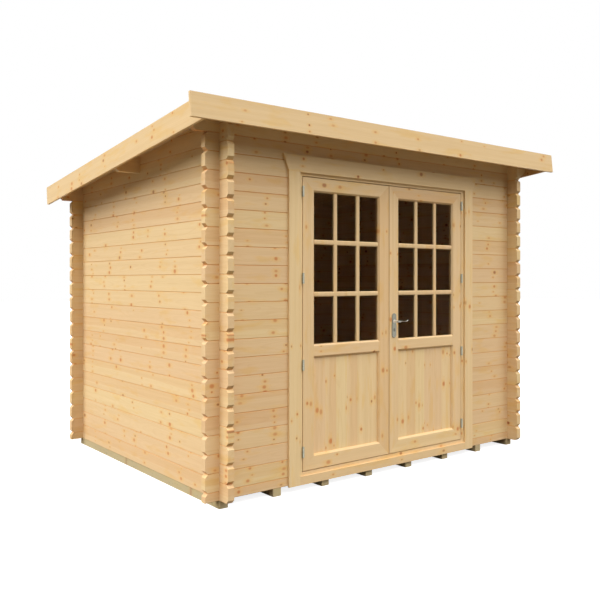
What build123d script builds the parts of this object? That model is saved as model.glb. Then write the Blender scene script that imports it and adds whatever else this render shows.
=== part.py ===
from build123d import *
import math
import os

# A one-room log cabin with a single-pitch roof that falls to the back and a pair of half-glazed doors.
# Sizes are in millimetres. X runs along the front, Y from front to back and Z up from the ground.
# While it is modelled, Y = 0 is the front wall's outer face and X = 0 the middle of the doorway.

# Log walls
log_height = 112
log_thickness = 44
wall_width = 2808
wall_depth = 2208
log_overhang = 96
log_end_bevel = 20
log_edge_bevel = 3
over_door_courses = 2
fall_courses = 2
lap_share = 0.25

# Base
bearer_height = 50
bearer_width = 60
bearer_count = 8
floor_thickness = 19

# Roof
eaves_overhang = 191.5
verge_overhang = 203
deck_thickness = 18
purlin_height = 112
board_height = 142.5
board_thickness = 18
board_rise = 34
fascia_overrun = 79
bracket_bevel = 45

# Door frame and the casing round it
jamb_thickness = 45
frame_depth = 64
sill_height = 69
stop_width = 12
casing_width = 88
casing_thickness = 16
casing_setback = 28
casing_drop = 8
sill_casing_height = 54
head_casing_height = 108
head_casing_splay = 46
head_setback = 20

# Door leaves
leaf_width = 772
leaf_height = 1903
leaf_thickness = 42
leaf_gap = 6
meeting_gap = 7
stop_gap = 5
stile_width = 99
top_rail_height = 92
lock_rail_height = 87
bottom_rail_height = 96
panel_opening = 631
moulding_bevel = 11
infill_setback = 18
glass_thickness = 4
panel_thickness = 14

# Lift-off hinges
hinge_count = 4
hinge_height = 68
hinge_radius = 7
hinge_standoff = 8
hinge_bottom_inset = 124
hinge_top_inset = 95
flap_width = 30
flap_thickness = 2
pin_radius = 3
barrel_sides = 16
pin_sides = 8
pin_clearance = 0.3
knuckle_gap = 0.5

# Lever handle on long backplates
handle_height = 940
handle_inset = 44
backplate_width = 40
backplate_height = 174
backplate_thickness = 5
backplate_drop = 30
keyhole_drop = 58
keyhole_radius = 5
keyhole_slot_width = 5
keyhole_slot_length = 14
neck_radius = 8
neck_length = 55
neck_clearance = 0.3
lever_length = 97
lever_width = 11
lever_edge_bevel = 3
lever_dip = 7
lever_tip_rise = 4
lever_bend_radius = 14
lever_face_gap = 0.5
spindle_width = 8
spindle_bore_radius = 8
lever_low_share = 0.78

# One overrun serves every cut that passes right through
overrun = 10


def block(x_range, y_range, z_range):
    """A box between two places along each axis."""
    (x_low, x_high), (y_low, y_high), (z_low, z_high) = x_range, y_range, z_range
    box = Box(x_high - x_low, y_high - y_low, z_high - z_low, align=(Align.MIN, Align.MIN, Align.MIN))
    return Pos(x_low, y_low, z_low) * box


def upright(points, y_low, y_high):
    """A flat outline in X and Z, given a thickness along Y."""
    outline = make_face(Polyline(*points, close=True))
    return extrude(Plane.XZ.offset(-y_low) * outline, amount=y_low - y_high)


def save(node, *shapes):
    """Write one node, moved so that the plan centre of the roof is the origin."""
    solids = [solid.moved(Location((0, -plan_centre, 0))) for shape in shapes for solid in shape.solids()]
    export_step(Compound(solids), f"parts/{node}.step")


# Places that several pieces share
half_width = wall_width / 2
wall_base = bearer_height
wall_laps = (-half_width, half_width - log_thickness)
half_log = log_height / 2
lap_depth = log_height * lap_share

leaf_outer = meeting_gap / 2 + leaf_width
jamb_face = leaf_outer + leaf_gap
doorway_half = jamb_face + jamb_thickness
leaf_bottom = wall_base + sill_height + leaf_gap
leaf_top = leaf_bottom + leaf_height
head_bottom = leaf_top + leaf_gap
doorway_top = head_bottom + jamb_thickness

# The front wall rises as many courses as the doorway needs, and a named number over that.
lintel_course = math.floor((doorway_top - wall_base - half_log) / log_height)
front_courses = lintel_course + 1 + over_door_courses
back_courses = front_courses - fall_courses
front_eaves = wall_base + half_log + front_courses * log_height
roof_angle = math.atan2(fall_courses * log_height, wall_depth - log_thickness)
roof = Plane((0, 0, front_eaves), x_dir=(1, 0, 0), z_dir=(0, math.sin(roof_angle), math.cos(roof_angle)))
roof_front = -eaves_overhang
roof_back = wall_depth / math.cos(roof_angle) + eaves_overhang
verge = half_width + verge_overhang
board_bottom = board_rise - board_height

front_most = roof.from_local_coords((0, roof_front, board_bottom)).Y
back_most = roof.from_local_coords((0, roof_back, board_rise)).Y
plan_centre = (front_most + back_most) / 2

os.makedirs("parts", exist_ok=True)


# Logs

def log_outline(start, end, bottom, top, laps, bevels, cuts):
    """Side view of a log, with its bevelled ends and the laps cut for the walls that cross it."""
    under_bevel, over_bevel = bevels
    under_cut, over_cut = cuts
    low = [(start, bottom + under_bevel), (start + under_bevel, bottom)]
    high = [(start, top - over_bevel), (start + over_bevel, top)]
    for near in laps:
        far = near + log_thickness
        low += [(near, bottom), (near, bottom + under_cut), (far, bottom + under_cut), (far, bottom)]
        high += [(near, top), (near, top - over_cut), (far, top - over_cut), (far, top)]
    low += [(end - under_bevel, bottom), (end, bottom + under_bevel)]
    high += [(end - over_bevel, top), (end, top - over_bevel)]
    points = low + high[::-1]
    return [point for index, point in enumerate(points) if point != points[index - 1]]


whole_log_bevels = (log_end_bevel, log_end_bevel)
whole_log_cuts = (lap_depth, lap_depth)


def log(start, end, bottom, top, laps, bevels=whole_log_bevels, cuts=whole_log_cuts):
    """A log along X whose outer face is at Y = 0, with the long edges of that face bevelled."""
    lapped = upright(log_outline(start, end, bottom, top, laps, bevels, cuts), 0, log_thickness)
    section = Pos(log_thickness / 2, (bottom + top) / 2) * Rectangle(log_thickness, top - bottom)
    section = chamfer(section.vertices().sort_by(Axis.X)[:2], length=log_edge_bevel)
    return lapped & extrude(Plane.YZ.offset(start) * section, amount=end - start)


def under_roof(piece):
    """The part of a piece that lies below the roof boards."""
    reach = wall_width + wall_depth
    above = block((-reach, reach), (-reach, reach), (0, reach)).moved(roof.location)
    return piece - above


def course_bottom(index):
    """Underside of a whole log in the front and back walls, which stand on a half log."""
    return wall_base + half_log + index * log_height


def cross_log(bottom, top, **shape):
    """A log right across the front or back, lapped at both side walls."""
    reach = half_width + log_overhang
    return log(-reach, reach, bottom, top, wall_laps, **shape)


def bracket_log(bottom, top, laps):
    """A log that runs on under the verges to the bargeboards, with bevelled lower corners."""
    outline = log_outline(-verge, verge, bottom, top, laps, (0, 0), whole_log_cuts)
    beam = upright(outline, 0, log_thickness)
    for side in (-1, 1):
        corner = [(side * verge, bottom), (side * (verge - bracket_bevel), bottom)]
        corner.append((side * verge, bottom + bracket_bevel))
        beam = beam - upright(corner, -overrun, log_thickness + overrun)
    return beam


# The mid purlin, half-way back, passes through both side walls.
purlin_near = (wall_depth - log_thickness) / 2
purlin_top = front_eaves - wall_depth / 2 * math.tan(roof_angle)
purlin_bottom = purlin_top - purlin_height
purlin_beam = bracket_log(purlin_bottom, purlin_top + overrun, ())
save("mid_purlin", under_roof(Pos(0, purlin_near, 0) * purlin_beam))

purlin_slot = block(
    (-verge, verge), (purlin_near, purlin_near + log_thickness), (purlin_bottom, front_eaves)
)

# Front and back walls: a half log below, whole logs above. Alternate courses go to two nodes.
top_log_bottom = course_bottom(front_courses - 1)
save("front_top_log", under_roof(bracket_log(top_log_bottom, top_log_bottom + log_height, wall_laps)))

back_top_bottom = course_bottom(back_courses - 1)
back_top = bracket_log(back_top_bottom, back_top_bottom + log_height, wall_laps)
save("back_top_log", under_roof(Pos(0, wall_depth - log_thickness, 0) * back_top))

doorway = block((-doorway_half, doorway_half), (-overrun, log_thickness + overrun), (0, doorway_top))
half_course = cross_log(wall_base, wall_base + half_log, bevels=(0, log_end_bevel), cuts=(0, lap_depth))
courses = [half_course]
courses += [cross_log(course_bottom(index), course_bottom(index + 1)) for index in range(front_courses - 1)]
beside_door = [(course - doorway).solids().sort_by(Axis.X) for course in courses[:lintel_course + 1]]
for side, end in (("left", 0), ("right", -1)):
    save(f"front_{side}_logs_a", *[pieces[end] for pieces in beside_door[0::2]])
    save(f"front_{side}_logs_b", *[pieces[end] for pieces in beside_door[1::2]])
save("front_lintel_log", courses[lintel_course + 1] - doorway)
save("front_upper_log", *courses[lintel_course + 2:])

back_place = Pos(0, wall_depth, 0) * Rot(0, 0, 180)
back_logs = [back_place * course for course in courses[:back_courses]]
save("back_logs_a", *back_logs[0::2])
save("back_logs_b", *back_logs[1::2])


# Side walls: whole logs from the bearers up, the top ones cut to the slope of the roof.

def side_log(index):
    """One log of a side wall, still lying along X."""
    bottom = wall_base + index * log_height
    laps = (0, wall_depth - log_thickness)
    return log(-log_overhang, wall_depth + log_overhang, bottom, bottom + log_height, laps)


side_courses = front_courses + 1
side_places = {
    "left": Pos(-half_width, wall_depth, 0) * Rot(0, 0, -90),
    "right": Pos(half_width, 0, 0) * Rot(0, 0, 90),
}
for side, place in side_places.items():
    side_logs = [under_roof(place * side_log(index)) - purlin_slot for index in range(side_courses)]
    save(f"{side}_logs_a", *side_logs[0::2])
    save(f"{side}_logs_b", *side_logs[1::2])


# Base: bearers from front to back, and the floor laid on them inside the walls.
bearer_step = (wall_width - bearer_width) / (bearer_count - 1)
bearers = []
for index in range(bearer_count):
    near = index * bearer_step - half_width
    bearers.append(block((near, near + bearer_width), (0, wall_depth), (0, bearer_height)))
save("bearers", *bearers)

room_half = half_width - log_thickness
floor_range = (wall_base, wall_base + floor_thickness)
floor = block((-room_half, room_half), (log_thickness, wall_depth - log_thickness), floor_range)
frame_space = block((-doorway_half, doorway_half), (0, frame_depth), (0, doorway_top))
save("floor_deck", floor - frame_space)


# Roof: one deck, a fascia along the high front edge and a bargeboard down each side, all square to it.
deck = block((-verge, verge), (roof_front + board_thickness, roof_back), (0, deck_thickness))
save("roof_deck", deck.moved(roof.location))

fascia_half = verge + board_thickness + fascia_overrun
fascia_range = (roof_front, roof_front + board_thickness)
board_range = (board_bottom, board_rise)
save("front_fascia", block((-fascia_half, fascia_half), fascia_range, board_range).moved(roof.location))

barge = block((verge, verge + board_thickness), (roof_front + board_thickness, roof_back), board_range)
right_barge = barge.moved(roof.location)
save("right_bargeboard", right_barge)
save("left_bargeboard", mirror(right_barge, about=Plane.YZ))


# Hinges: the knuckles stand in front of the leaf, over the gap beside it. Their flaps are let into the
# edge of the leaf and the face of the jamb, so the gap stays clear.
hinge_x = leaf_outer + leaf_gap / 2
hinge_span = leaf_height - hinge_bottom_inset - hinge_top_inset
hinge_heights = [
    leaf_bottom + hinge_bottom_inset + index * hinge_span / (hinge_count - 1) for index in range(hinge_count)
]
# Barrel, pin and bore have few sides, because they are small and repeat. The bore clears the pin as it turns.
barrel_outline = RegularPolygon(hinge_radius, barrel_sides)
pin_outline = RegularPolygon(pin_radius, pin_sides)
bore_outline = RegularPolygon(pin_radius + pin_clearance, pin_sides, major_radius=False)
leaf_flap = (leaf_outer - flap_thickness, leaf_outer)
jamb_flap = (jamb_face, jamb_face + flap_thickness)


def on_hinge_line(outline, z_low, z_high):
    """An outline in plan, centred on the line that the leaf turns about and given its height."""
    return Pos(hinge_x, -hinge_standoff, z_low) * extrude(outline, amount=z_high - z_low)


def leaf_hinge(middle):
    """The upper half, on the leaf, bored for the pin."""
    z_range = (middle + knuckle_gap / 2, middle + hinge_height / 2)
    flap = block(leaf_flap, (-hinge_standoff, flap_width), z_range)
    return on_hinge_line(barrel_outline, *z_range) + flap - on_hinge_line(bore_outline, *z_range)


def jamb_hinge(middle):
    """The lower half, on the jamb, with the pin."""
    z_range = (middle - hinge_height / 2, middle - knuckle_gap / 2)
    flap = block(jamb_flap, (-hinge_standoff, flap_width), z_range)
    pin = on_hinge_line(pin_outline, z_range[0], middle + hinge_height / 2)
    return on_hinge_line(barrel_outline, *z_range) + flap + pin


def flap_recess(flap, z_low, z_high):
    """The shallow recess that a flap lies in."""
    return block(flap, (0, flap_width), (z_low, z_high))


# Door frame. The jambs and head carry a stop behind the leaves.
stop_front = leaf_thickness + stop_gap
right_jamb = block((jamb_face, doorway_half), (0, frame_depth), (wall_base, head_bottom))
right_jamb += block(
    (jamb_face - stop_width, jamb_face), (stop_front, frame_depth), (wall_base + sill_height, head_bottom)
)
for middle in hinge_heights:
    right_jamb -= flap_recess(jamb_flap, middle - hinge_height / 2, middle - knuckle_gap / 2)
frame_head = block((-doorway_half, doorway_half), (0, frame_depth), (head_bottom, doorway_top))
stop_reach = jamb_face - stop_width
frame_head += block(
    (-stop_reach, stop_reach), (stop_front, frame_depth), (head_bottom - stop_width, head_bottom)
)
save("right_jamb", right_jamb)
save("left_jamb", mirror(right_jamb, about=Plane.YZ))
save("frame_head", frame_head)
sill_range = (wall_base, wall_base + sill_height)
save("door_sill", block((-jamb_face, jamb_face), (0, frame_depth), sill_range))

# Casing on the outside: two uprights, a sill board between them and a head with splayed ends on top.
casing_inner = jamb_face + casing_setback
casing_outer = casing_inner + casing_width
casing_bottom = wall_base - casing_drop
head_casing_bottom = head_bottom + head_setback
head_casing_top = head_casing_bottom + head_casing_height
casing_range = (-casing_thickness, 0)
right_casing = block((casing_inner, casing_outer), casing_range, (casing_bottom, head_casing_bottom))
save("right_casing", right_casing)
save("left_casing", mirror(right_casing, about=Plane.YZ))
sill_casing_range = (casing_bottom, casing_bottom + sill_casing_height)
save("sill_casing", block((-casing_inner, casing_inner), casing_range, sill_casing_range))
head_corners = [(casing_outer, head_casing_bottom), (casing_outer + head_casing_splay, head_casing_top)]
head_corners += [(-x, z) for x, z in head_corners[::-1]]
save("head_casing", upright(head_corners, *casing_range))


# Door leaves. The right leaf is modelled; the left one is its mirror image without the lever.
leaf_inner = meeting_gap / 2
opening_near = leaf_inner + stile_width
opening_far = leaf_outer - stile_width
panel_bottom = leaf_bottom + bottom_rail_height
panel_top = panel_bottom + panel_opening
glass_bottom = panel_top + lock_rail_height
glass_top = leaf_top - top_rail_height
opening_range = (opening_near, opening_far)


def moulded_opening(z_low, z_high):
    """The space to cut for the glass or the panel, splayed at both faces of the leaf."""
    through = (-overrun, leaf_thickness + overrun)
    space = block(opening_range, through, (z_low, z_high))
    width = opening_far - opening_near
    middle = Pos((opening_near + opening_far) / 2, 0, (z_low + z_high) / 2)
    mouth = Rectangle(width + 2 * moulding_bevel, z_high - z_low + 2 * moulding_bevel)
    throat = Rectangle(width, z_high - z_low)
    outer = loft([Plane.XZ * mouth, Plane.XZ.offset(-moulding_bevel) * throat])
    inner_face = leaf_thickness - moulding_bevel
    inner = loft([Plane.XZ.offset(-leaf_thickness) * mouth, Plane.XZ.offset(-inner_face) * throat])
    return space + middle * outer + middle * inner


blank = block((leaf_inner, leaf_outer), (0, leaf_thickness), (leaf_bottom, leaf_top))
leaf_frame = blank - moulded_opening(panel_bottom, panel_top) - moulded_opening(glass_bottom, glass_top)
for middle in hinge_heights:
    leaf_frame -= flap_recess(leaf_flap, middle + knuckle_gap / 2, middle + hinge_height / 2)

# Stiles and rails meet at mitres in the corners of the leaf. The lock rail fits between the stiles.
meeting_stile = [(leaf_inner, leaf_bottom), (opening_near, panel_bottom)]
meeting_stile += [(opening_near, glass_top), (leaf_inner, leaf_top)]
hanging_stile = [(leaf_outer, leaf_bottom), (opening_far, panel_bottom)]
hanging_stile += [(opening_far, glass_top), (leaf_outer, leaf_top)]
stile_space = upright(meeting_stile, 0, leaf_thickness) + upright(hanging_stile, 0, leaf_thickness)
stiles = leaf_frame & stile_space
rails = leaf_frame - stile_space

panel_range = (infill_setback, infill_setback + panel_thickness)
glass_range = (infill_setback, infill_setback + glass_thickness)
panel = block(opening_range, panel_range, (panel_bottom, panel_top))
glass = block(opening_range, glass_range, (glass_bottom, glass_top))
leaf_hinges = [leaf_hinge(middle) for middle in hinge_heights]
jamb_hinges = [jamb_hinge(middle) for middle in hinge_heights]

# Lever handle: a backplate on each face of the meeting stile, and a lever each side on one spindle.
handle_x = leaf_inner + handle_inset
handle_z = leaf_bottom + handle_height
handle_place = Pos(handle_x, 0, handle_z)
bore = Cylinder(spindle_bore_radius, leaf_thickness + 2 * overrun, rotation=(90, 0, 0))
stiles_with_bore = stiles - Pos(handle_x, leaf_thickness / 2, handle_z) * bore

keyhole = Pos(0, -keyhole_drop) * Circle(keyhole_radius)
slot = Rectangle(keyhole_slot_width, keyhole_slot_length, align=(Align.CENTER, Align.MAX))
keyhole += Pos(0, -keyhole_drop) * slot
plate_outline = Pos(0, -backplate_drop) * SlotOverall(backplate_height, backplate_width, rotation=90)
plate_outline = plate_outline - keyhole - Circle(neck_radius + neck_clearance)
backplate = handle_place * extrude(Plane.XZ * plate_outline, amount=backplate_thickness)
mid_leaf = Plane.XZ.offset(-leaf_thickness / 2)

neck = Cylinder(neck_radius, neck_length - lever_face_gap, align=(Align.CENTER, Align.CENTER, Align.MIN))
neck = Pos(0, -lever_face_gap, 0) * Rot(90, 0, 0) * neck
lever_low = lever_length * lever_low_share
lever_path = FilletPolyline(
    (0, 0, 0), (lever_low / 2, 0, 0), (lever_low, 0, -lever_dip), (lever_length, 0, lever_tip_rise),
    radius=lever_bend_radius,
)
section = chamfer(Rectangle(lever_width, lever_width).vertices(), length=lever_edge_bevel)
grip = sweep(Plane(lever_path @ 0, x_dir=(0, 1, 0), z_dir=lever_path % 0) * section, path=lever_path)
lever = neck + Pos(0, lever_width / 2 - neck_length, 0) * grip
spindle = block(
    (-spindle_width / 2, spindle_width / 2),
    (-lever_face_gap, leaf_thickness / 2),
    (-spindle_width / 2, spindle_width / 2),
)
half_lever = handle_place * (lever + spindle)
save("door_lever", half_lever + mirror(half_lever, about=mid_leaf))
save("outer_backplate", backplate)
save("inner_backplate", mirror(backplate, about=mid_leaf))

for side, leaf_stiles in (("right", stiles_with_bore), ("left", stiles)):
    for node, pieces in (
        ("door_stiles", [leaf_stiles]),
        ("door_rails", [rails]),
        ("door_panel", [panel]),
        ("door_glass", [glass]),
        ("door_hinges", leaf_hinges),
        ("frame_hinges", jamb_hinges),
    ):
        if side == "left":
            pieces = [mirror(piece, about=Plane.YZ) for piece in pieces]
        save(f"{side}_{node}", *pieces)
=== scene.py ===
# %% [markdown]
# # A log cabin, dressed around its solids
#
# The solids come first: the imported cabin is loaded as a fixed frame, with its logs, doors and roof in
# place. This lesson then gives every timber its grain, adds the boards and glazing bars that were left out
# of the solids, and sets the camera and the light. Everything is in metres, in the frame of the solids.

# %% Load the cabin
import math
import bmesh
import bpy
from mathutils import Matrix, Vector


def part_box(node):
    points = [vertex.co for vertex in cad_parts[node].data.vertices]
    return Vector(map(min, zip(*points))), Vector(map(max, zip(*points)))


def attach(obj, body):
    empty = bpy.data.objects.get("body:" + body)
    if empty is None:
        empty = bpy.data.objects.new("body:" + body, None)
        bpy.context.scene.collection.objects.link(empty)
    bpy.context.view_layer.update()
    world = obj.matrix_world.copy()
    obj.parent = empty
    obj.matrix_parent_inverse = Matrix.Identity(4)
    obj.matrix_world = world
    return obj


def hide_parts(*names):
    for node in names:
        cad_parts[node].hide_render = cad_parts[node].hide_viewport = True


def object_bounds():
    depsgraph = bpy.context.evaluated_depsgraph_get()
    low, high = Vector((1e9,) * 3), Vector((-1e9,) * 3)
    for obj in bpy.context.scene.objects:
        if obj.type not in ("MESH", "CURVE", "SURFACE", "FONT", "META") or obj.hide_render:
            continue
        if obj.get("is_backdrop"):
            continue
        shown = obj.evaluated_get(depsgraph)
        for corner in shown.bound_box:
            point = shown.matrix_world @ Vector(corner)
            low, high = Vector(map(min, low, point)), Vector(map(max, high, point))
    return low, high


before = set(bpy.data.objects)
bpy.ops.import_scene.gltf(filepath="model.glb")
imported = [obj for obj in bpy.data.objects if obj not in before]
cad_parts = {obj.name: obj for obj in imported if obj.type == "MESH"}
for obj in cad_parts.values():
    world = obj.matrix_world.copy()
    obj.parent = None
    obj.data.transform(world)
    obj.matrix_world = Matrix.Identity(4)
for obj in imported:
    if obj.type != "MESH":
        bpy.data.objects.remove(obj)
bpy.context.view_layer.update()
scene = bpy.context.scene
scene.view_settings.view_transform = "Standard"

# %% [markdown]
# ## Camera
#
# The photograph was taken at about head height from the front left. The camera is level, so upright edges
# stay upright, and the little that the cabin sits off the middle of the frame is made up by the lens shift.
# A camera could be aimed with a constraint, but plain numbers stay put when the script is run again.

# %% Place the camera
quarter_turn = math.radians(90)
camera_data = bpy.data.cameras.new("photo_camera")
camera_data.sensor_width = 36.0
camera_data.lens = 43.53
camera_data.shift_x = -0.0033
camera_data.shift_y = -0.0340
camera = bpy.data.objects.new("photo_camera", camera_data)
camera.location = (-3.6494, -4.80307, 1.3629)
camera.rotation_euler = (quarter_turn, 0, math.radians(-37.735))
scene.collection.objects.link(camera)
scene.camera = camera
print("camera at", tuple(camera.location))

# %% [markdown]
# ## Light
#
# The real picture has broad soft light from the left, the front and the right, about 40 to 55 degrees up,
# which leaves deep soft shade under the eaves. Panels near the cabin would fade down the wall, so three suns
# with a wide disc give the light instead.

# %% Hang the soft suns
def soft_sun(name, turn, height, disc, strength):
    """A wide sun, a turn to the left of straight ahead and a height above the ground, all in degrees."""
    lamp = bpy.data.lights.new(name, "SUN")
    lamp.energy = strength
    lamp.angle = math.radians(disc)
    sun = bpy.data.objects.new(name, lamp)
    turn, height = math.radians(turn), math.radians(height)
    level = math.cos(height)
    towards = Vector((-math.sin(turn) * level, -math.cos(turn) * level, math.sin(height)))
    sun.rotation_euler = towards.to_track_quat("Z", "Y").to_euler()
    scene.collection.objects.link(sun)
    print(name, "from", [round(part, 2) for part in towards])


soft_sun("left_sun", turn=105, height=38, disc=50, strength=3.1)
soft_sun("front_sun", turn=30, height=55, disc=50, strength=1.87)
soft_sun("right_sun", turn=-35, height=40, disc=50, strength=1.75)

# %% [markdown]
# ## Writing finishes
#
# Every finish below is a tree of nodes. Each node could be made, set and linked in lines of its own, but
# then one finish would fill a page. A small class that adds a node and feeds its sockets in one line keeps
# a finish short enough to read.

# %% Fill node trees one node at a time
class Finish:
    """A node tree that a finish is written into."""

    def __init__(self, tree):
        self.tree = tree

    def node(self, kind, *inputs, **settings):
        """Add a node. Each input is a socket to link or a value to set, in the node's own order."""
        node = self.tree.nodes.new("ShaderNode" + kind)
        for setting, value in settings.items():
            setattr(node, setting, value)
        for socket, value in zip(node.inputs, inputs):
            self.feed(socket, value)
        return node

    def feed(self, socket, value):
        """Link a socket to another, or set its value."""
        if isinstance(value, bpy.types.NodeSocket):
            self.tree.links.new(value, socket)
        elif value is not None:
            socket.default_value = value

    def group(self, group, *inputs):
        """Place a node group, and give back its outputs."""
        return self.node("Group", *inputs, node_tree=group).outputs

    def calc(self, operation, *inputs):
        return self.node("Math", *inputs, operation=operation).outputs[0]

    def rise(self, value, low, high):
        """0 below low, 1 above high, and a smooth slope between them."""
        return self.node("MapRange", value, low, high, interpolation_type="SMOOTHSTEP").outputs[0]

    def fall(self, value, low, high):
        """1 below low, 0 above high, and a smooth slope between them."""
        return self.calc("SUBTRACT", 1.0, self.rise(value, low, high))

    def scaled(self, value, low, high):
        """A share from 0 to 1 turned into a number between low and high."""
        return self.node("MapRange", value, 0.0, 1.0, low, high).outputs[0]

    def blend(self, amount, first, second, how="MIX"):
        """Mix two colours. A colour mix takes them at its sockets 6 and 7, and gives the result at 2."""
        mix = self.node("Mix", data_type="RGBA", blend_type=how)
        self.feed(mix.inputs[0], amount)
        self.feed(mix.inputs[6], first)
        self.feed(mix.inputs[7], second)
        return mix.outputs[2]

    def tinted(self, color, tint):
        return self.blend(1.0, color, tint, "MULTIPLY")

    def apart(self, vector):
        return self.node("SeparateXYZ", vector).outputs

    def joined(self, x, y, z):
        return self.node("CombineXYZ", x, y, z).outputs[0]

    def stretched(self, place, scale):
        return self.node("Mapping", place, None, None, scale).outputs[0]

    def random(self, number):
        """Three random numbers that belong to one number."""
        return self.apart(self.node("TexWhiteNoise", None, number, noise_dimensions="1D").outputs["Color"])

    def noise(self, place, detail=2.0, roughness=0.5):
        return self.node("TexNoise", place, None, 1.0, detail, roughness).outputs[0]


# %% Open and close node groups
def new_group(name, inputs, outputs):
    """An empty shader node group with named sockets."""
    group = bpy.data.node_groups.new(name, "ShaderNodeTree")
    for socket, kind in inputs:
        group.interface.new_socket(socket, in_out="INPUT", socket_type="NodeSocket" + kind)
    for socket, kind in outputs:
        group.interface.new_socket(socket, in_out="OUTPUT", socket_type="NodeSocket" + kind)
    return group, Finish(group), group.nodes.new("NodeGroupInput").outputs


def close_group(finish, *values):
    """Feed a group's outputs, in their own order."""
    group_out = finish.tree.nodes.new("NodeGroupOutput")
    for socket, value in zip(group_out.inputs, values):
        finish.feed(socket, value)
    print(finish.tree.name, "has", len(finish.tree.nodes), "nodes")


# %% [markdown]
# ## Sky and ground
#
# The cabin stands on white. A white floor would throw too much light back up under the eaves, so a Light
# Path node keeps two grounds apart: the white one that the camera sees, also in glass and metal, and a dull
# one that lights the timber. The white one still takes the cabin's shadow.

# %% Make the sky
def seen_straight(finish):
    """1 where the camera looks straight on, through glass or off metal, with no dull surface between."""
    path = finish.node("LightPath").outputs
    straight = finish.calc("MAXIMUM", path["Is Camera Ray"], path["Is Glossy Ray"])
    straight = finish.calc("MAXIMUM", straight, path["Is Transmission Ray"])
    return finish.calc("MULTIPLY", straight, finish.calc("LESS_THAN", path["Diffuse Depth"], 0.5))


white, sky_tint, sky_strength = (1, 1, 1, 1), (1.0, 0.985, 0.96, 1), 0.02
world = bpy.data.worlds.new("soft_sky")
scene.world = world
world.use_nodes = True
world.node_tree.nodes.clear()
sky = Finish(world.node_tree)
sky_light = sky.node("Background", sky_tint, sky_strength)
white_sky = sky.node("Background", white, 1.0)
sky_mix = sky.node("MixShader", seen_straight(sky), sky_light.outputs[0], white_sky.outputs[0])
sky.node("OutputWorld", sky_mix.outputs[0])
print("sky lights the cabin with a strength of", sky_strength)

# %% Lay the ground
ground_reach, glow_strength = 40.0, 0.85
bounce_tone, shadow_tone = (0.165, 0.143, 0.108, 1), (0.5, 0.5, 0.5, 1)
ground_mesh = bpy.data.meshes.new("ground")
ground_bm = bmesh.new()
bmesh.ops.create_grid(ground_bm, x_segments=1, y_segments=1, size=ground_reach)
ground_bm.to_mesh(ground_mesh)
ground_bm.free()
ground = bpy.data.objects.new("ground", ground_mesh)
scene.collection.objects.link(ground)

ground_material = bpy.data.materials.new("pale_ground")
ground_material.use_nodes = True
ground_material.node_tree.nodes.clear()
pale = Finish(ground_material.node_tree)
bounce = pale.node("BsdfDiffuse", bounce_tone)
shaded = pale.node("BsdfDiffuse", shadow_tone)
glow = pale.node("Emission", white, glow_strength)
lit = pale.node("AddShader", glow.outputs[0], shaded.outputs[0])
shown = pale.node("MixShader", seen_straight(pale), bounce.outputs[0], lit.outputs[0])
pale.node("OutputMaterial", shown.outputs[0])
ground_mesh.materials.append(ground_material)
ground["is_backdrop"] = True
print("ground reaches", ground_reach, "m each way")

# %% [markdown]
# ## Planed spruce
#
# Every timber here is planed spruce: pale, with thin darker lines of latewood, a little fibre, and small
# red-brown knots that come in groups. It could be drawn on each face apart, but a solid pattern that knows
# which way the grain runs also gives the right rings on the cut ends. One group holds it, fed with a place
# measured along, across and through the piece, and a number that tells one piece from the next.

# %% Open the spruce group
spruce, wood, given = new_group(
    "planed_spruce",
    [
        ("Place", "Vector"), ("Seed", "Float"), ("Curve", "Float"), ("Tilt", "Float"),
        ("Knots", "Float"), ("Knot size", "Float"),
    ],
    [("Color", "Color"), ("Roughness", "Float"), ("Height", "Float")],
)
trunk_length = 40.0
along, across, through = wood.apart(given["Place"])
luck_a, luck_b, luck_c = wood.random(given["Seed"])
run = wood.calc("MULTIPLY_ADD", luck_a, trunk_length, along)
print("each piece is cut somewhere from a trunk of", trunk_length, "m")

# %% [markdown]
# ### Knots
#
# Branches grew in rings up the trunk, so knots stand over each other at the same place along the log.
# Points scattered at random would miss that. A one-way Voronoi texture gives the rings, rows across the log
# give the places in them, and dice give each knot its size, shape and darkness.

# %% Place the knots
whorl_step, whorl_scatter, knot_row = 0.36, 0.85, 0.037
row_shift, whorl_shift, knot_stray = 9.0, 97.0, 0.022
in_row, knot_breadths = (0.3, 0.7), (0.7, 1.3)
smallest_knot, largest_knot, few_large = 0.0052, 0.0135, 1.5

whorl_place = wood.calc("DIVIDE", run, whorl_step)
whorl = wood.node("TexVoronoi", voronoi_dimensions="1D")
whorl.inputs["Scale"].default_value = 1.0
whorl.inputs["Randomness"].default_value = whorl_scatter
wood.feed(whorl.inputs["W"], whorl_place)
knot_rows = wood.calc("MULTIPLY_ADD", luck_c, row_shift, wood.calc("DIVIDE", across, knot_row))
whorl_number = wood.calc("MULTIPLY", wood.apart(whorl.outputs["Color"])[0], whorl_shift)
knot_number = wood.joined(whorl_number, wood.calc("FLOOR", knot_rows), luck_a)
knot_dice = wood.node("TexWhiteNoise", knot_number, noise_dimensions="3D")
knot_a, knot_b, knot_c = wood.apart(knot_dice.outputs["Color"])

off_along = wood.calc("MULTIPLY", wood.calc("SUBTRACT", whorl_place, whorl.outputs["W"]), whorl_step)
off_along = wood.calc("ADD", off_along, wood.scaled(knot_b, -knot_stray, knot_stray))
off_across = wood.calc("SUBTRACT", wood.calc("FRACT", knot_rows), wood.scaled(knot_a, *in_row))
knot_breadth = wood.scaled(knot_dice.outputs["Value"], *knot_breadths)
off_across = wood.calc("DIVIDE", wood.calc("MULTIPLY", off_across, knot_row), knot_breadth)
knot_size = wood.scaled(wood.calc("POWER", knot_c, few_large), smallest_knot, largest_knot)
knot_size = wood.calc("MULTIPLY", knot_size, given["Knot size"])
print("knots from", 1000 * smallest_knot, "to", 1000 * largest_knot, "mm")


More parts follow.
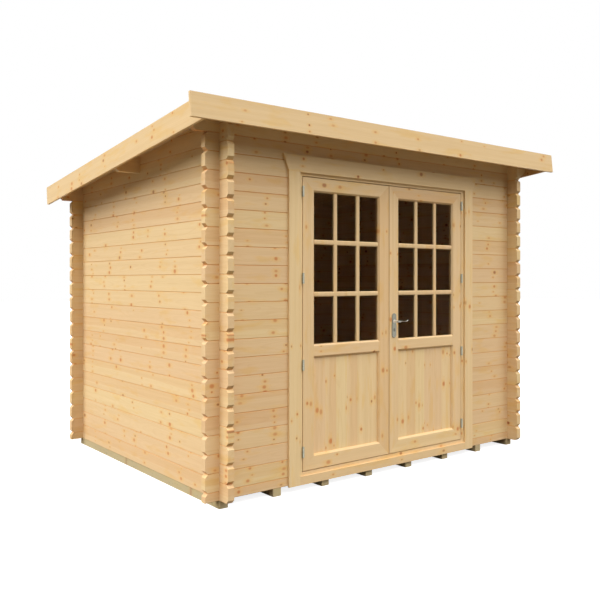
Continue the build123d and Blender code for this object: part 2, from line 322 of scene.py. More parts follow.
# %% Shade the knots
def knot_reach(length):
    """Distance from the knot in knot sizes, with the knot drawn out along the grain by a length."""
    place = wood.joined(wood.calc("DIVIDE", off_along, length), off_across, 0.0)
    distance = wood.node("VectorMath", place, operation="LENGTH").outputs["Value"]
    return wood.calc("DIVIDE", distance, knot_size)


core_length, core_fade = 1.45, (0.40, 1.25)
halo_length, halo_fade = 1.9, (0.5, 3.0)
presence_draw, dead_draw, dead_share = 7.0, 11.0, (0.82, 0.9)
knot_darkness = (0.45, 0.95)
presence = wood.calc("FRACT", wood.calc("MULTIPLY", knot_b, presence_draw))
present = wood.calc("LESS_THAN", presence, given["Knots"])
core = wood.calc("MULTIPLY", present, wood.fall(knot_reach(core_length), *core_fade))
halo = wood.calc("MULTIPLY", present, wood.fall(knot_reach(halo_length), *halo_fade))
darkness = wood.scaled(knot_a, *knot_darkness)
dead = wood.rise(wood.calc("FRACT", wood.calc("MULTIPLY", knot_a, dead_draw)), *dead_share)
print("knots are drawn out along the grain", core_length, "times")

# %% [markdown]
# ### Rings and fibre
#
# The rings are lines of equal distance from the heart. A wave texture would repeat them too evenly, so the
# distance is worked out: bowed across the piece, warped along it and pushed aside by knots. Fibre and broad
# streaks are noises drawn out along the grain.

# %% Grow the rings and the fibre
def along_grain(run_scale, side_scale, shift=0.0):
    """A place for a noise that is drawn out along the grain."""
    return wood.joined(
        wood.calc("MULTIPLY", run, run_scale),
        wood.calc("MULTIPLY_ADD", across, side_scale, shift),
        wood.calc("MULTIPLY", through, side_scale),
    )


ring_width, ring_warp, knot_push = 0.0042, 0.05, 0.007
ring_start, ring_end, ring_strengths = (0.40, 0.90), (0.92, 1.0), (0.25, 1.0)
warp_scale, fibre_scale, streak_scale, blotch_scale = (1.1, 6.0), (9.0, 420.0), (0.8, 34.0), (4.0, 15.0)
blotch_edge = (0.52, 0.70)
warp = wood.noise(along_grain(*warp_scale, luck_b))
depth = wood.calc("MULTIPLY_ADD", wood.calc("MULTIPLY", across, across), given["Curve"], through)
depth = wood.calc("MULTIPLY_ADD", across, given["Tilt"], depth)
depth = wood.calc("MULTIPLY_ADD", warp, ring_warp, depth)
depth = wood.calc("MULTIPLY_ADD", halo, knot_push, depth)
rings = wood.calc("DIVIDE", depth, ring_width)
ring_share = wood.calc("FRACT", rings)
ring_number = wood.calc("ADD", wood.calc("FLOOR", rings), given["Seed"])
late = wood.calc("MULTIPLY", wood.rise(ring_share, *ring_start), wood.fall(ring_share, *ring_end))
late = wood.calc("MULTIPLY", late, wood.scaled(wood.random(ring_number)[0], *ring_strengths))
fibre = wood.noise(along_grain(*fibre_scale))
streak = wood.noise(along_grain(*streak_scale, luck_c), 3.0, 0.6)
blotch = wood.rise(wood.noise(along_grain(*blotch_scale, luck_b), 3.0), *blotch_edge)
print("rings every", 1000 * ring_width, "mm")

# %% [markdown]
# ### Colour
#
# One ramp could hold the colours of plain wood, but knots and heartwood change hue as well as depth. So the
# colours go on one over the other, from the broad to the small: early wood and latewood, resin blotches,
# streaks, fibre, a tint for each piece, the redder heart on some, and the knots in the warm wood round them.

# %% Colour the spruce
early_wood, late_wood, late_strength = (0.81, 0.603, 0.345, 1), (0.68, 0.44, 0.215, 1), 0.20
resin_tone, resin_strength = (0.80, 0.53, 0.20, 1), 0.5
streak_tint, streak_edge, fibre_shades = (0.955, 0.935, 0.90, 1), (0.3, 0.7), (0.95, 1.05)
yellow_tint, pink_tint = (1.03, 1.04, 0.98, 1), (0.99, 0.925, 0.91, 1)
tone = wood.blend(wood.calc("MULTIPLY", late, late_strength), early_wood, late_wood)
tone = wood.blend(wood.calc("MULTIPLY", blotch, resin_strength), tone, resin_tone)
tone = wood.blend(wood.rise(streak, *streak_edge), tone, wood.tinted(tone, streak_tint))
fibre_shade = wood.scaled(fibre, *fibre_shades)
tone = wood.tinted(tone, wood.joined(fibre_shade, fibre_shade, fibre_shade))
tone = wood.tinted(tone, wood.blend(luck_b, yellow_tint, pink_tint))
print("early wood", early_wood[:3], "latewood", late_wood[:3])

# %% Add the heart and the knots
heart_tint, heart_share = (0.965, 0.915, 0.87, 1), 0.62
heart_wander, heart_offset, heart_edge = 0.05, 0.07, 0.004
halo_tone, halo_strength = (0.82, 0.50, 0.17, 1), 0.48
live_knot, dead_knot = (0.62, 0.235, 0.08, 1), (0.40, 0.13, 0.05, 1)
smoothest, fibre_roughness, late_height = 0.52, 0.16, -0.6
heart_line = wood.calc("MULTIPLY_ADD", wood.calc("SUBTRACT", warp, 0.5), heart_wander, across)
heart_line = wood.calc("MULTIPLY_ADD", wood.calc("SUBTRACT", luck_c, 0.5), heart_offset, heart_line)
has_heart = wood.calc("GREATER_THAN", luck_a, heart_share)
heart = wood.calc("MULTIPLY", wood.rise(heart_line, -heart_edge, heart_edge), has_heart)
tone = wood.blend(heart, tone, wood.tinted(tone, heart_tint))
tone = wood.blend(wood.calc("MULTIPLY", halo, halo_strength), tone, halo_tone)
tone = wood.blend(wood.calc("MULTIPLY", core, darkness), tone, wood.blend(dead, live_knot, dead_knot))
roughness = wood.calc("MULTIPLY_ADD", fibre, fibre_roughness, smoothest)
height = wood.calc("MULTIPLY_ADD", late, late_height, fibre)
close_group(wood, tone, roughness, height)

# %% [markdown]
# ## Rows of timber
#
# Logs and boards come in rows. Each could be given its number by hand, but its place in the row tells it
# already. A second group turns a position into the number of the piece, the place across it, and the
# distance to the nearest joint. The joints of logs and deck boards are real Vs in their shapes, and a line
# along them adds the dirt and shade that a real joint holds.

# %% Build the row group
timber_rows, row, given = new_group(
    "timber_rows",
    [("Position", "Float"), ("First joint", "Float"), ("Spacing", "Float")],
    [("Number", "Float"), ("Across", "Float"), ("To joint", "Float")],
)
from_joint = row.calc("SUBTRACT", given["Position"], given["First joint"])
steps = row.calc("DIVIDE", from_joint, given["Spacing"])
off_middle = row.calc("SUBTRACT", row.calc("FRACT", steps), 0.5)
across_row = row.calc("MULTIPLY", off_middle, given["Spacing"])
half_spacing = row.calc("MULTIPLY", given["Spacing"], 0.5)
to_joint = row.calc("SUBTRACT", half_spacing, row.calc("ABSOLUTE", across_row))
close_group(row, row.calc("FLOOR", steps), across_row, to_joint)

# %% [markdown]
# ## From group to surface
#
# On the real cabin a surface is a colour, a shine and a fine relief. Each finish could build its own shader,
# but all of them end alike, so three short functions start a finish, end it and lay it on the solids.

# %% Start a finish, end it and lay it on
timber_relief, relief_strength, wood_shine = 0.0004, 0.6, 0.2


def new_finish(name):
    """A material whose tree is empty, and the piece's own coordinates."""
    material = bpy.data.materials.new(name)
    material.use_nodes = True
    material.node_tree.nodes.clear()
    finish = Finish(material.node_tree)
    return material, finish, finish.node("TexCoord").outputs["Object"]


def close_finish(finish, color, roughness, height=None, relief=timber_relief, **sockets):
    """Put a colour, roughness and height into one shader, with the plain values set on its own sockets."""
    shader = finish.node("BsdfPrincipled")
    finish.feed(shader.inputs["Base Color"], color)
    finish.feed(shader.inputs["Roughness"], roughness)
    for socket, value in sockets.items():
        shader.inputs[socket.replace("_", " ")].default_value = value
    if height is not None:
        bump = finish.node("Bump")
        bump.inputs["Strength"].default_value = relief_strength
        bump.inputs["Distance"].default_value = relief
        finish.feed(bump.inputs["Height"], height)
        finish.feed(shader.inputs["Normal"], bump.outputs[0])
    finish.node("OutputMaterial", shader.outputs[0])


def dress(material, *nodes):
    """Give CAD nodes their finish."""
    for node in nodes:
        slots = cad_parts[node].data.materials
        slots.clear()
        slots.append(material)
    print(material.name, "on", len(nodes), "nodes")


# %% [markdown]
# ## Log walls
#
# The front and back logs run left to right and the side logs front to back, half a log out of step with
# them. Every log could have its own finish, but one for each direction is enough, because the grain runs
# along the log and the height gives its number. The depth into the log is measured from the wall's outer
# face, so the cut ends show their rings.

# %% Write the log finish
log_curve, log_tilt, log_knots, log_knot_size = 6.0, 0.05, 0.68, 1.0
joint_fade, joint_tint, underside_shade_fade = (0.0010, 0.0050), (0.96, 0.81, 0.67, 1), (0.5, 0.6)
upper_log_low, upper_log_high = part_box("front_upper_log")
log_height = round(upper_log_high.z - upper_log_low.z, 4)


def log_finish(name, along_axis, through_axis, wall_face, first_joint, seed, under_shade_tint):
    """Spruce logs, told apart by height and by wall. The under tint darkens the faces that look down, as
    painted shade.
    """
    material, finish, place = new_finish(name)
    axes = finish.apart(place)
    course = finish.group(timber_rows, axes["Z"], first_joint, log_height)
    wall_side = finish.calc("SIGN", axes[through_axis])
    number = finish.calc("MULTIPLY_ADD", wall_side, seed, course["Number"])
    depth = finish.calc("SUBTRACT", finish.calc("ABSOLUTE", axes[through_axis]), wall_face)
    log_place = finish.joined(axes[along_axis], course["Across"], depth)
    timber = finish.group(spruce, log_place, number, log_curve, log_tilt, log_knots, log_knot_size)
    in_joint = finish.fall(course["To joint"], *joint_fade)
    color = finish.blend(in_joint, timber["Color"], finish.tinted(timber["Color"], joint_tint))
    facing = finish.apart(finish.node("TexCoord").outputs["Normal"])
    # Faces that look down are painted darker here: painted shade under each log and bevel.
    looks_down_shade = finish.rise(finish.calc("MULTIPLY", facing["Z"], -1.0), *underside_shade_fade)
    color = finish.blend(looks_down_shade, color, finish.tinted(color, under_shade_tint))
    close_finish(finish, color, timber["Roughness"], timber["Height"], Specular_IOR_Level=wood_shine)
    return material


print("a log is", log_height, "m high")

# %% Dress the logs
# Tints for the painted shade on the log faces that look down.
cross_under_shade, side_under_shade = (0.86, 0.68, 0.52, 1), (0.86, 0.84, 0.80, 1)
bearer_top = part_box("bearers")[1].z
front_face = -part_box("front_left_logs_a")[0].y
side_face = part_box("right_logs_a")[1].x
half_log_up = bearer_top + log_height / 2
cross_logs = log_finish(
    "spruce_cross_logs", "X", "Y", front_face, half_log_up, seed=31.7, under_shade_tint=cross_under_shade
)
side_logs = log_finish("spruce_side_logs", "Y", "X", side_face, bearer_top, seed=57.3, under_shade_tint=side_under_shade)
logs = [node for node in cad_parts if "_logs_" in node or node.endswith("_log")]
side_nodes = [node for node in logs if node.startswith(("left_", "right_"))]
dress(side_logs, *side_nodes)
dress(cross_logs, *[node for node in logs if node not in side_nodes])

# %% [markdown]
# ## Joinery and boards
#
# Doors, frame, casing and roof edges are the same spruce, cut to smaller sections with straighter grain.
# Each piece could have its own finish, but its place already tells it from its neighbours. So the place is
# cut into rows, every row has a number, and a few finishes serve all of the joinery.

# %% Write the board finish
plain_tone = (1.0, 1.0, 1.0, 1)
board_knot_size, row_weights = 1.08, (1.0, 7.3)
board_joint_tint, joint_core_share = (0.62, 0.45, 0.33, 1), 1 / 3


def board_finish(
    name, grain, across, through, rows, seed, knots=0.5, curve=0.0, tilt=0.8, turn=0.0,
    tone=plain_tone, joint=0.0,
):
    """Spruce with its grain along one axis. Rows holds the lengths along axes after which a piece ends."""
    material, finish, place = new_finish(name)
    if turn:
        place = finish.node("Mapping", place, None, (turn, 0, 0)).outputs[0]
    axes = finish.apart(place)
    number, off_middle = seed, axes[across]
    for weight, (axis, spacing) in zip(row_weights, rows.items()):
        board = finish.group(timber_rows, axes[axis], 0.0, spacing)
        number = finish.calc("MULTIPLY_ADD", board["Number"], weight, number)
        if axis == across:
            off_middle, to_joint = board["Across"], board["To joint"]
    board_place = finish.joined(axes[grain], off_middle, axes[through])
    timber = finish.group(spruce, board_place, number, curve, tilt, knots, board_knot_size)
    color = finish.tinted(timber["Color"], tone)
    if joint:
        in_joint = finish.fall(to_joint, joint * joint_core_share, joint)
        color = finish.blend(in_joint, color, finish.tinted(color, board_joint_tint))
    close_finish(finish, color, timber["Roughness"], timber["Height"], Specular_IOR_Level=wood_shine)
    return material


front_top_low, front_top_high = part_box("front_top_log")
back_top_low, back_top_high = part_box("back_top_log")
roof_angle = math.atan2(front_top_high.z - back_top_high.z, back_top_low.y - front_top_low.y)
print("roof falls", round(math.degrees(roof_angle), 2), "degrees to the back")

# %% Dress the joinery
leaf_low, leaf_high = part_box("right_door_stiles")
half_leaf = (leaf_low.x + leaf_high.x) / 2
panel_board, rail_row, past_middle, whole_board = 0.0957, 0.4, 5.0, 10.0
door_tone, casing_tone, fascia_tone = (1.06, 1.065, 1.07, 1), (1.03, 1.03, 1.03, 1), (0.99, 0.98, 0.97, 1)
uprights = board_finish("spruce_uprights", "Z", "X", "Y", {"X": half_leaf}, seed=3.0, tone=door_tone)
rail_rows = {"Z": rail_row, "X": past_middle}
door_rails = board_finish("spruce_rails", "X", "Z", "Y", rail_rows, seed=11.0, tone=door_tone)
cross_boards = board_finish(
    "spruce_cross_boards", "X", "Z", "Y", {"Z": rail_row}, seed=19.0, tone=casing_tone
)
door_panels = board_finish(
    "spruce_panels", "Z", "X", "Y", {"X": panel_board}, seed=23.0, curve=4.0, tilt=0.1, tone=door_tone
)
fascia = board_finish(
    "spruce_fascia", "X", "Z", "Y", {"Z": whole_board}, seed=29.0, tilt=0.4, tone=fascia_tone
)
bargeboards = board_finish(
    "spruce_bargeboards", "Y", "Z", "X", {"X": whole_board}, seed=37.0, tilt=0.4, turn=roof_angle
)
for side in ("left", "right"):
    dress(uprights, f"{side}_jamb", f"{side}_casing", f"{side}_door_stiles")
    dress(door_rails, f"{side}_door_rails")
    dress(door_panels, f"{side}_door_panel")
    dress(bargeboards, f"{side}_bargeboard")
dress(cross_boards, "frame_head", "door_sill", "head_casing", "sill_casing", "mid_purlin")
dress(fascia, "front_fascia")

# %% [markdown]
# ## Treated bearers
#
# The bearers are rough sawn and pressure treated, which leaves them grey-green with darker spots. They could
# be one flat colour, since little of them shows, but the same spruce under a green tint keeps its rings on
# the ends.

# %% Dress the bearers
bearer_cell, bearer_curve, bearer_tilt, bearer_knots, bearer_knot_size = 0.2, 5.0, 0.2, 0.3, 1.0
blue_grey, green_grey, patch_edge = (0.61, 0.665, 0.67, 1), (0.675, 0.74, 0.69, 1), (0.35, 0.7)
spot_tint, spot_edge = (0.34, 0.44, 0.42, 1), (0.66, 0.74)
sawn_tone, sawn_share, sawn_roughness, sawn_relief = (0.62, 0.515, 0.33, 1), 0.35, 0.8, 0.001
material, finish, place = new_finish("treated_bearers")
axes = finish.apart(place)
number = finish.calc("FLOOR", finish.calc("DIVIDE", axes["X"], bearer_cell))
bearer_place = finish.joined(axes["Y"], axes["X"], axes["Z"])
timber = finish.group(
    spruce, bearer_place, number, bearer_curve, bearer_tilt, bearer_knots, bearer_knot_size
)
patch = finish.noise(finish.stretched(place, (14, 4, 14)))
spots = finish.noise(finish.stretched(place, (90, 30, 90)), 1.0)
green = finish.blend(finish.rise(patch, *patch_edge), blue_grey, green_grey)
green = finish.blend(finish.rise(spots, *spot_edge), green, spot_tint)
sawn = finish.blend(sawn_share, finish.tinted(timber["Color"], green), sawn_tone)
close_finish(finish, sawn, sawn_roughness, timber["Height"], sawn_relief, Specular_IOR_Level=wood_shine)
dress(material, "bearers")

# %% [markdown]
# ## Glass
#
# The panes are thin clear glass over a dark room. A plain glass shader would do, but real panes are never
# quite clean, so a faint smudge changes their tint and blur. A low index keeps the view through them
# straight, as it is in a thin sheet.

# %% Dress the panes
clean_tint, smudged_tint, smudge_edge = (0.88, 0.84, 0.77, 1), (0.85, 0.81, 0.745, 1), (0.5, 0.75)
pane_blur, thin_index = (0.025, 0.06), 1.06
material, finish, place = new_finish("clear_panes")
smudge = finish.rise(finish.noise(finish.stretched(place, (9, 9, 5)), 3.0), *smudge_edge)
pane_tint = finish.blend(smudge, clean_tint, smudged_tint)
blur = finish.scaled(smudge, *pane_blur)
close_finish(finish, pane_tint, blur, Transmission_Weight=1.0, IOR=thin_index)
dress(material, "left_door_glass", "right_door_glass")

# %% [markdown]
# ## Metal
#
# Hinges are zinc plated, the backplates are satin steel and the lock is darker. Each could be one flat
# metal, but real fittings have a mottled shine and fine scratches. One group gives both, and each metal has
# its own colours and its own blur.

# %% Build the mottle group
mottle_scale, scratch_scale = (180, 180, 180), (2600, 2600, 160)
mottled_metal, metal, given = new_group(
    "mottled_metal", [("Place", "Vector")], [("Mottle", "Float"), ("Scratch", "Float")]
)
mottle = metal.noise(metal.stretched(given["Place"], mottle_scale), 3.0, 0.6)
scratch = metal.noise(metal.stretched(given["Place"], scratch_scale), 1.0)
close_group(metal, mottle, scratch)

# %% Dress the metal
scratch_relief = 0.00003


def metal_finish(name, color, worn, low_blur, high_blur):
    """Metal with fine scratches and a mottled shine."""
    material, finish, place = new_finish(name)
    surface = finish.group(mottled_metal, place)
    shade = finish.blend(surface["Mottle"], color, worn)
    blur = finish.scaled(surface["Mottle"], low_blur, high_blur)
    close_finish(finish, shade, blur, surface["Scratch"], scratch_relief, Metallic=1.0)
    return material


zinc = metal_finish("zinc_hinges", (0.40, 0.41, 0.33, 1), (0.32, 0.32, 0.25, 1), 0.38, 0.55)
satin_steel = metal_finish(
    "satin_backplates", (0.25, 0.247, 0.205, 1), (0.21, 0.205, 0.165, 1), 0.34, 0.46
)
lock_steel = metal_finish("dark_lock", (0.145, 0.138, 0.112, 1), (0.11, 0.104, 0.085, 1), 0.35, 0.5)
dress(zinc, "left_door_hinges", "right_door_hinges", "left_frame_hinges", "right_frame_hinges")
dress(satin_steel, "outer_backplate", "inner_backplate")

# %% [markdown]
# ## Glazing bars
#
# Each leaf has nine panes, parted by rounded bars that are planted on both faces of the glass. Single bars
# could be laid over each other, but then they would run through one another at the crossings. Instead one
# flat sheet is cut along the edges of the bars, the panes are taken out, and what is left is given its
# thickness and a round edge, so the crossings come out whole.

# %% Finish pieces and pick out their parts
sharp_edge = math.radians(35)


def finish_piece(name, bm, material, body, smooth=True):
    """Turn a bmesh into an object at the origin that rides on a body."""
    mesh = bpy.data.meshes.new(name)
    bmesh.ops.recalc_face_normals(bm, faces=bm.faces)
    bm.to_mesh(mesh)
    bm.free()
    mesh.materials.append(material)
    if smooth:
        mesh.shade_smooth()
        mesh.set_sharp_from_angle(angle=sharp_edge)
    piece = bpy.data.objects.new(name, mesh)
    scene.collection.objects.link(piece)
    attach(piece, body)
    print(name, len(mesh.polygons), "faces")
    return piece


def verts_in(geometry):
    return [part for part in geometry if isinstance(part, bmesh.types.BMVert)]


def face_in(geometry):
    return next(part for part in geometry if isinstance(part, bmesh.types.BMFace))


# %% Shape a lattice of bars
panes_each_way, in_sheet, tiny = 3, (0, 2), 1e-6


def bar_lattice(low, high, face_y, proud, bar_width, round_edge):
    """A sheet in X and Z with equal panes cut out, thickened along Y and rounded at the front."""
    bm = bmesh.new()
    corners = [(low.x, low.z), (high.x, low.z), (high.x, high.z), (low.x, high.z)]
    bm.faces.new([bm.verts.new((x, face_y, z)) for x, z in corners])
    bars = {}
    for axis in in_sheet:
        pane = (high[axis] - low[axis] - (panes_each_way - 1) * bar_width) / panes_each_way
        first = low[axis] - bar_width / 2
        bars[axis] = [first + bar * (pane + bar_width) for bar in range(1, panes_each_way)]
        normal = Vector((0, 0, 0))
        normal[axis] = 1
        for middle in bars[axis]:
            for edge in (middle - bar_width / 2, middle + bar_width / 2):
                whole = bm.verts[:] + bm.edges[:] + bm.faces[:]
                bmesh.ops.bisect_plane(bm, geom=whole, plane_co=normal * edge, plane_no=normal)

    def on_bar(face):
        place = face.calc_center_median()
        return any(abs(place[axis] - middle) < bar_width / 2 for axis in bars for middle in bars[axis])

    bmesh.ops.delete(bm, geom=[face for face in bm.faces if not on_bar(face)], context="FACES")
    raised = bmesh.ops.extrude_face_region(bm, geom=bm.faces[:])["geom"]
    bmesh.ops.translate(bm, verts=verts_in(raised), vec=(0, proud, 0))
    bm.normal_update()
    front = face_y + proud
    ends = [(axis, limit) for axis in in_sheet for limit in (low[axis], high[axis])]

    def on_rim(edge):
        """True for the front edges of the bars, but not for their cut ends."""
        at_front = all(abs(vert.co.y - front) < tiny for vert in edge.verts)
        inside_face = all(abs(face.normal.y) > 0.5 for face in edge.link_faces)
        at_end = any(all(abs(vert.co[axis] - limit) < tiny for vert in edge.verts) for axis, limit in ends)
        return at_front and not inside_face and not at_end

    rim = [edge for edge in bm.edges if on_rim(edge)]
    bmesh.ops.bevel(bm, geom=rim, offset=round_edge, segments=4, profile=0.5, affect="EDGES", material=-1)
    return bm


print("a lattice parts", panes_each_way ** 2, "panes")

# %% Make the glazing bars
bar_width, bar_proud, bar_round = 0.033, 0.010, 0.0095
bar_wood = board_finish("spruce_glazing_bars", "Z", "X", "Y", {"X": half_leaf}, seed=41.0, knots=0.0)
for side in ("left", "right"):
    low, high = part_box(f"{side}_door_glass")
    for face, start, proud in (("outer", low.y, -bar_proud), ("inner", high.y, bar_proud)):
        bars = bar_lattice(low, high, start, proud, bar_width, bar_round)
        finish_piece(f"{side}_{face}_glazing_bars", bars, bar_wood, f"{side}_door")

# %% [markdown]
# ## Lever handle
#
# The solid lever is a plain bar on a round neck. The real one is drawn in one sweep: a flared foot on the
# plate, a neck that turns into the grip at a full elbow, and a slim grip that dips and curls up at its tip.
# It could be a curve with a bevel, but then its thickness could not change so freely. Here a disc is pulled
# out step by step, and spun round each bend. Its colour holds painted light: the neck is painted bright as a
# painted highlight, and the grip darker as painted shade, most of all in its middle.

# %% Finish the lever
pivot_rise = 0.030
plate_low, plate_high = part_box("outer_backplate")
plate_x, plate_z = (plate_low.x + plate_high.x) / 2, (plate_low.z + plate_high.z) / 2
lever_z = plate_z + pivot_rise
leaf_middle = (leaf_low.y + leaf_high.y) / 2
grip_begins, elbow_begins = (0.008, 0.016), (0.058, 0.068)
middle_shade_begins, middle_shade_ends = (0.016, 0.034), (0.064, 0.082)
# The neck's bright tones are a painted highlight; the grip's dark tones, darkest in its middle, are painted
# shade.
neck_highlight_tone, neck_highlight_mottle = (0.82, 0.81, 0.77, 1), (0.74, 0.73, 0.68, 1)
grip_shade_tone, grip_shade_mottle, grip_middle_shade = (0.235, 0.23, 0.20, 1), (0.20, 0.195, 0.165, 1), (0.075, 0.064, 0.052, 1)
lever_blur, neck_blur = (0.16, 0.28), 0.30

lever_steel, finish, place = new_finish("lever_steel")
axes = finish.apart(place)
mottle = finish.group(mottled_metal, place)["Mottle"]
along_grip = finish.calc("SUBTRACT", axes["X"], plate_x)
out_of_leaf = finish.calc("ABSOLUTE", finish.calc("SUBTRACT", axes["Y"], leaf_middle))
# Masks for the painted shade on the elbow and grip, and for the darker painted shade in the grip's middle.
on_grip, on_elbow = finish.rise(along_grip, *grip_begins), finish.rise(out_of_leaf, *elbow_begins)
grip_shade_share = finish.calc("MAXIMUM", on_grip, on_elbow)
grip_middle_shade_share = finish.calc("MULTIPLY", finish.rise(along_grip, *middle_shade_begins), finish.fall(along_grip, *middle_shade_ends))
neck_tone = finish.blend(mottle, neck_highlight_tone, neck_highlight_mottle)
grip_tone = finish.blend(grip_middle_shade_share, finish.blend(mottle, grip_shade_tone, grip_shade_mottle), grip_middle_shade)
extra_blur = finish.calc("MULTIPLY", finish.calc("SUBTRACT", 1.0, grip_shade_share), neck_blur)
blur = finish.calc("ADD", extra_blur, finish.scaled(mottle, *lever_blur))
close_finish(finish, finish.blend(grip_shade_share, neck_tone, grip_tone), blur, Metallic=1.0)
print("lever turns about", round(plate_x, 4), round(lever_z, 4))


# %% Pull and bend a face
def resize(bm, face, girth):
    """Make a face wider or narrower about its own middle."""
    to_middle = Matrix.Translation(-face.calc_center_median())
    bmesh.ops.scale(bm, vec=(girth, girth, girth), space=to_middle, verts=face.verts)


def draw_out(bm, face, ahead, girth):
    """Pull a face out along its normal, and make it wider or narrower."""
    end = face_in(bmesh.ops.extrude_face_region(bm, geom=[face])["geom"])
    bmesh.ops.delete(bm, geom=[face], context="FACES_ONLY")
    bm.normal_update()
    bmesh.ops.translate(bm, verts=end.verts, vec=end.normal * ahead)
    resize(bm, end, girth)
    return end


def bend(bm, face, centre, axis, angle, steps, girth):
    """Spin a face round a bend in steps, making it wider or narrower at each."""
    for step in range(steps):
        spun = bmesh.ops.spin(
            bm, geom=[face], cent=centre, axis=axis, dvec=(0, 0, 0), angle=angle / steps, steps=1,
            use_duplicate=False,
        )
        end = face_in(spun["geom_last"])
        bmesh.ops.delete(bm, geom=[face], context="FACES_ONLY")
        resize(bm, end, girth)
        face = end
    bm.normal_update()
    return face


# %% Shape one lever
# Steps are pairs: how far the face is pulled out, and how many times wider it gets.
# Bends are an angle, the steps that it is taken in, and how many times wider the face gets at each.
shaft_radius, shaft_disc = 0.0076, 0.001
foot_steps = ((0.0041, 1.0), (0.0, 1.62), (0.0022, 1.0), (0.0022, 0.90), (0.0028, 0.90), (0.004, 0.94))
neck_steps = ((0.008, 0.97), (0.0145, 0.95))
elbow_radius, elbow_bend = 0.0105, (quarter_turn, 6, 0.975)
elbow_fullness, elbow_drop = 1.1, 0.0015
root_steps, root_rise = ((0.004, 0.85), (0.005, 0.72)), 0.003
dip_angle = math.radians(9)
dip_radius, dip_bend = 0.22, (-dip_angle, 4, 0.985)
tip_radius, tip_bend = 0.052, (math.radians(44), 8, 1.0)
tip_steps = ((0.0012, 0.86), (0.0010, 0.70), (0.0004, 0.45))


def lever_shape():
    """One lever: Z points out of the door, X along the grip and Y up, from the leaf's face."""
    bm = bmesh.new()
    bmesh.ops.create_cone(
        bm, cap_ends=True, segments=24, radius1=shaft_radius, radius2=shaft_radius, depth=shaft_disc,
        matrix=Matrix.Translation((0, 0, shaft_disc)),
    )
    end = max(bm.faces, key=lambda face: face.calc_center_median().z)
    for ahead, girth in foot_steps + neck_steps:
        end = draw_out(bm, end, ahead, girth)
    elbow_centre = (elbow_radius, 0, end.calc_center_median().z)
    end = bend(bm, end, elbow_centre, (0, 1, 0), *elbow_bend)
    bmesh.ops.scale(bm, vec=(1, elbow_fullness, 1), verts=end.verts)
    bmesh.ops.translate(bm, vec=(0, -elbow_drop, 0), verts=end.verts)
    for ahead, girth in root_steps:
        end = draw_out(bm, end, ahead, girth)
    bmesh.ops.translate(bm, vec=(0, root_rise, 0), verts=end.verts)
    below = end.calc_center_median() - Vector((0, dip_radius, 0))
    end = bend(bm, end, below, (0, 0, 1), *dip_bend)
    upward = Vector((math.sin(dip_angle), math.cos(dip_angle), 0))
    above = end.calc_center_median() + tip_radius * upward
    end = bend(bm, end, above, (0, 0, 1), *tip_bend)
    for ahead, girth in tip_steps:
        end = draw_out(bm, end, ahead, girth)
    return bm


pulls = len(foot_steps + neck_steps + root_steps + tip_steps)
print("a lever is pulled out in", pulls, "steps and three bends")

# %% Set a lever on each face of the leaf
spindle_width, spindle_inset = 0.008, 0.001
lever_bm = lever_shape()
out_of_door = Matrix.Translation((plate_x, leaf_low.y, lever_z)) @ Matrix.Rotation(quarter_turn, 4, "X")
bmesh.ops.transform(lever_bm, matrix=out_of_door, verts=lever_bm.verts)
outer_lever = lever_bm.verts[:] + lever_bm.edges[:] + lever_bm.faces[:]
inner_verts = verts_in(bmesh.ops.duplicate(lever_bm, geom=outer_lever)["geom"])
to_leaf_middle = Matrix.Translation((0, -leaf_middle, 0))
bmesh.ops.scale(lever_bm, vec=(1, -1, 1), space=to_leaf_middle, verts=inner_verts)
spindle = bmesh.ops.create_cube(lever_bm, size=1.0)["verts"]
spindle_length = leaf_high.y - leaf_low.y - 2 * spindle_inset
bmesh.ops.scale(lever_bm, vec=(spindle_width, spindle_length, spindle_width), verts=spindle)
bmesh.ops.translate(lever_bm, vec=(plate_x, leaf_middle, lever_z), verts=spindle)
lever = finish_piece("door_lever_drawn", lever_bm, lever_steel, "door_lever")
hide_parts("door_lever")

# %% [markdown]
# ## Lock faces and screws
#
# A lock face covers each keyhole: a dark upright oval, sunk in the middle. Two screws hold each plate. They
# could be drawn as masks on the plate, but small raised discs catch the light as the real ones do. A circle
# is stretched, given its thickness, and its middle is sunk for the key or the driver.

# %% Shape a small disc
rim_share, dome_share, sunk_share = 0.15, 0.25, 0.9


def small_disc(middle, outward, half_width, half_height, proud, recess_share):
    """An oval disc on a plate, facing along Y, with a sunk middle."""
    bm = bmesh.new()
    rim = bmesh.ops.create_circle(bm, cap_ends=True, segments=16, radius=1.0)["verts"]
    bmesh.ops.scale(bm, vec=(half_width, half_height, 1), verts=rim)
    top = face_in(bmesh.ops.extrude_face_region(bm, geom=bm.faces[:])["geom"])
    bmesh.ops.translate(bm, verts=top.verts, vec=(0, 0, proud))
    bmesh.ops.inset_region(bm, faces=[top], thickness=half_width * rim_share)
    bmesh.ops.translate(bm, verts=top.verts, vec=(0, 0, proud * dome_share))
    bmesh.ops.inset_region(bm, faces=[top], thickness=half_width * recess_share)
    sunk = verts_in(bmesh.ops.extrude_face_region(bm, geom=[top])["geom"])
    bmesh.ops.delete(bm, geom=[top], context="FACES_ONLY")
    bmesh.ops.translate(bm, verts=sunk, vec=(0, 0, -proud * sunk_share))
    turn = Matrix.Rotation(-outward * quarter_turn, 4, "X")
    bmesh.ops.transform(bm, matrix=Matrix.Translation(middle) @ turn, verts=bm.verts)
    return bm


print("a disc has a rim of", rim_share, "of its half width")

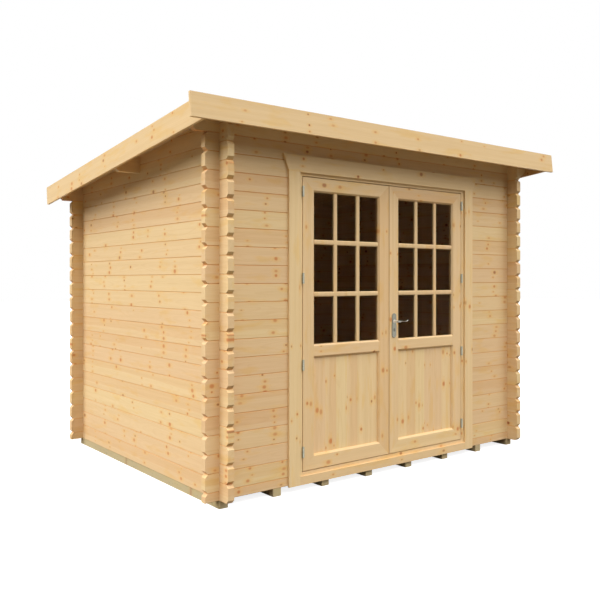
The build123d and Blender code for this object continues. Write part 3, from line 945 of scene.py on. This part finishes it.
# %% Set the lock faces and screws
lock_drop, lock_half_width, lock_half_height, lock_proud, lock_recess = 0.061, 0.0085, 0.0125, 0.0012, 0.6
screw_reach, screw_radius, screw_proud, screw_recess = 0.076, 0.0034, 0.0008, 0.45
inner_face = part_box("inner_backplate")[1].y
for face, surface, outward in (("outer", plate_low.y, -1), ("inner", inner_face, 1)):
    lock_middle = (plate_x, surface, lever_z - lock_drop)
    lock = small_disc(lock_middle, outward, lock_half_width, lock_half_height, lock_proud, lock_recess)
    finish_piece(f"{face}_lock_face", lock, lock_steel, "right_door")
    for end, reach in (("upper", screw_reach), ("lower", -screw_reach)):
        screw_middle = (plate_x, surface, plate_z + reach)
        screw = small_disc(screw_middle, outward, screw_radius, screw_radius, screw_proud, screw_recess)
        finish_piece(f"{face}_{end}_screw", screw, satin_steel, "right_door")

# %% [markdown]
# ## Roof and floor boards
#
# The solids have one slab for the roof and one for the floor. The real ones are tongued boards with a small
# V where two meet. Each board could be an object, but a row is laid and lifted as one. So one board is
# shaped and repeated across the slab, and the roof's row is tipped to the pitch.

# %% Lay the roof boards
def board_row(length, width, thickness, count, bevel):
    """Boards side by side along X, each running along Y, centred on the origin."""
    bm = bmesh.new()
    pitch = width / count
    for index in range(count):
        board = bmesh.ops.create_cube(bm, size=1.0)["verts"]
        bmesh.ops.scale(bm, vec=(pitch, length, thickness), verts=board)
        bmesh.ops.translate(bm, vec=((index + 0.5) * pitch - width / 2, 0, 0), verts=board)
    long_edges = [edge for edge in bm.edges if abs(edge.verts[0].co.y - edge.verts[1].co.y) > length / 2]
    bmesh.ops.bevel(bm, geom=long_edges, offset=bevel, segments=1, profile=0.5, affect="EDGES", material=-1)
    return bm


roof_count, roof_bevel, roof_joint, deck_thickness = 33, 0.003, 0.004, 0.018
low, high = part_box("roof_deck")
roof_width = high.x - low.x
deck_length = (high.y - low.y - deck_thickness * math.sin(roof_angle)) / math.cos(roof_angle)
roof_bm = board_row(deck_length, roof_width, deck_thickness, roof_count, roof_bevel)
tip = Matrix.Translation((low + high) / 2) @ Matrix.Rotation(-roof_angle, 4, "X")
bmesh.ops.transform(roof_bm, matrix=tip, verts=roof_bm.verts)
roof_wood = board_finish(
    "spruce_roof_deck", "Y", "X", "Z", {"X": roof_width / roof_count}, seed=43.0, knots=0.6, tilt=0.2,
    turn=roof_angle, joint=roof_joint,
)
roof_boards = finish_piece("roof_boards", roof_bm, roof_wood, "cabin", smooth=False)
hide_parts("roof_deck")

# %% Lay the floor boards
floor_count, floor_bevel, floor_joint = 22, 0.0015, 0.002
low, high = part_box("floor_deck")
floor_middle = (low + high) / 2
frame_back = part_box("door_sill")[1].y
frame_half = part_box("frame_head")[1].x
floor_depth, floor_thickness = high.y - frame_back, high.z - low.z
floor_bm = board_row(high.x - low.x, floor_depth, floor_thickness, floor_count, floor_bevel)
lay = Matrix.Translation((floor_middle.x, (frame_back + high.y) / 2, floor_middle.z))
bmesh.ops.transform(floor_bm, matrix=lay @ Matrix.Rotation(quarter_turn, 4, "Z"), verts=floor_bm.verts)
for near, far in ((low.x, -frame_half), (frame_half, high.x)):
    strip = bmesh.ops.create_cube(floor_bm, size=1.0)["verts"]
    bmesh.ops.scale(floor_bm, vec=(far - near, frame_back - low.y, floor_thickness), verts=strip)
    strip_middle = ((near + far) / 2, (low.y + frame_back) / 2, floor_middle.z)
    bmesh.ops.translate(floor_bm, vec=strip_middle, verts=strip)
floor_wood = board_finish(
    "spruce_floor_boards", "X", "Y", "Z", {"Y": floor_depth / floor_count}, seed=47.0, curve=4.0, tilt=0.1,
    joint=floor_joint,
)
floor_boards = finish_piece("floor_boards", floor_bm, floor_wood, "cabin", smooth=False)
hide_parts("floor_deck")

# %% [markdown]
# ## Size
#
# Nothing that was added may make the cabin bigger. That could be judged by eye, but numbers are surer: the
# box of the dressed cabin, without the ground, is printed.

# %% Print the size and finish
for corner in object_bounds():
    print("corner at", [round(part, 3) for part in corner])
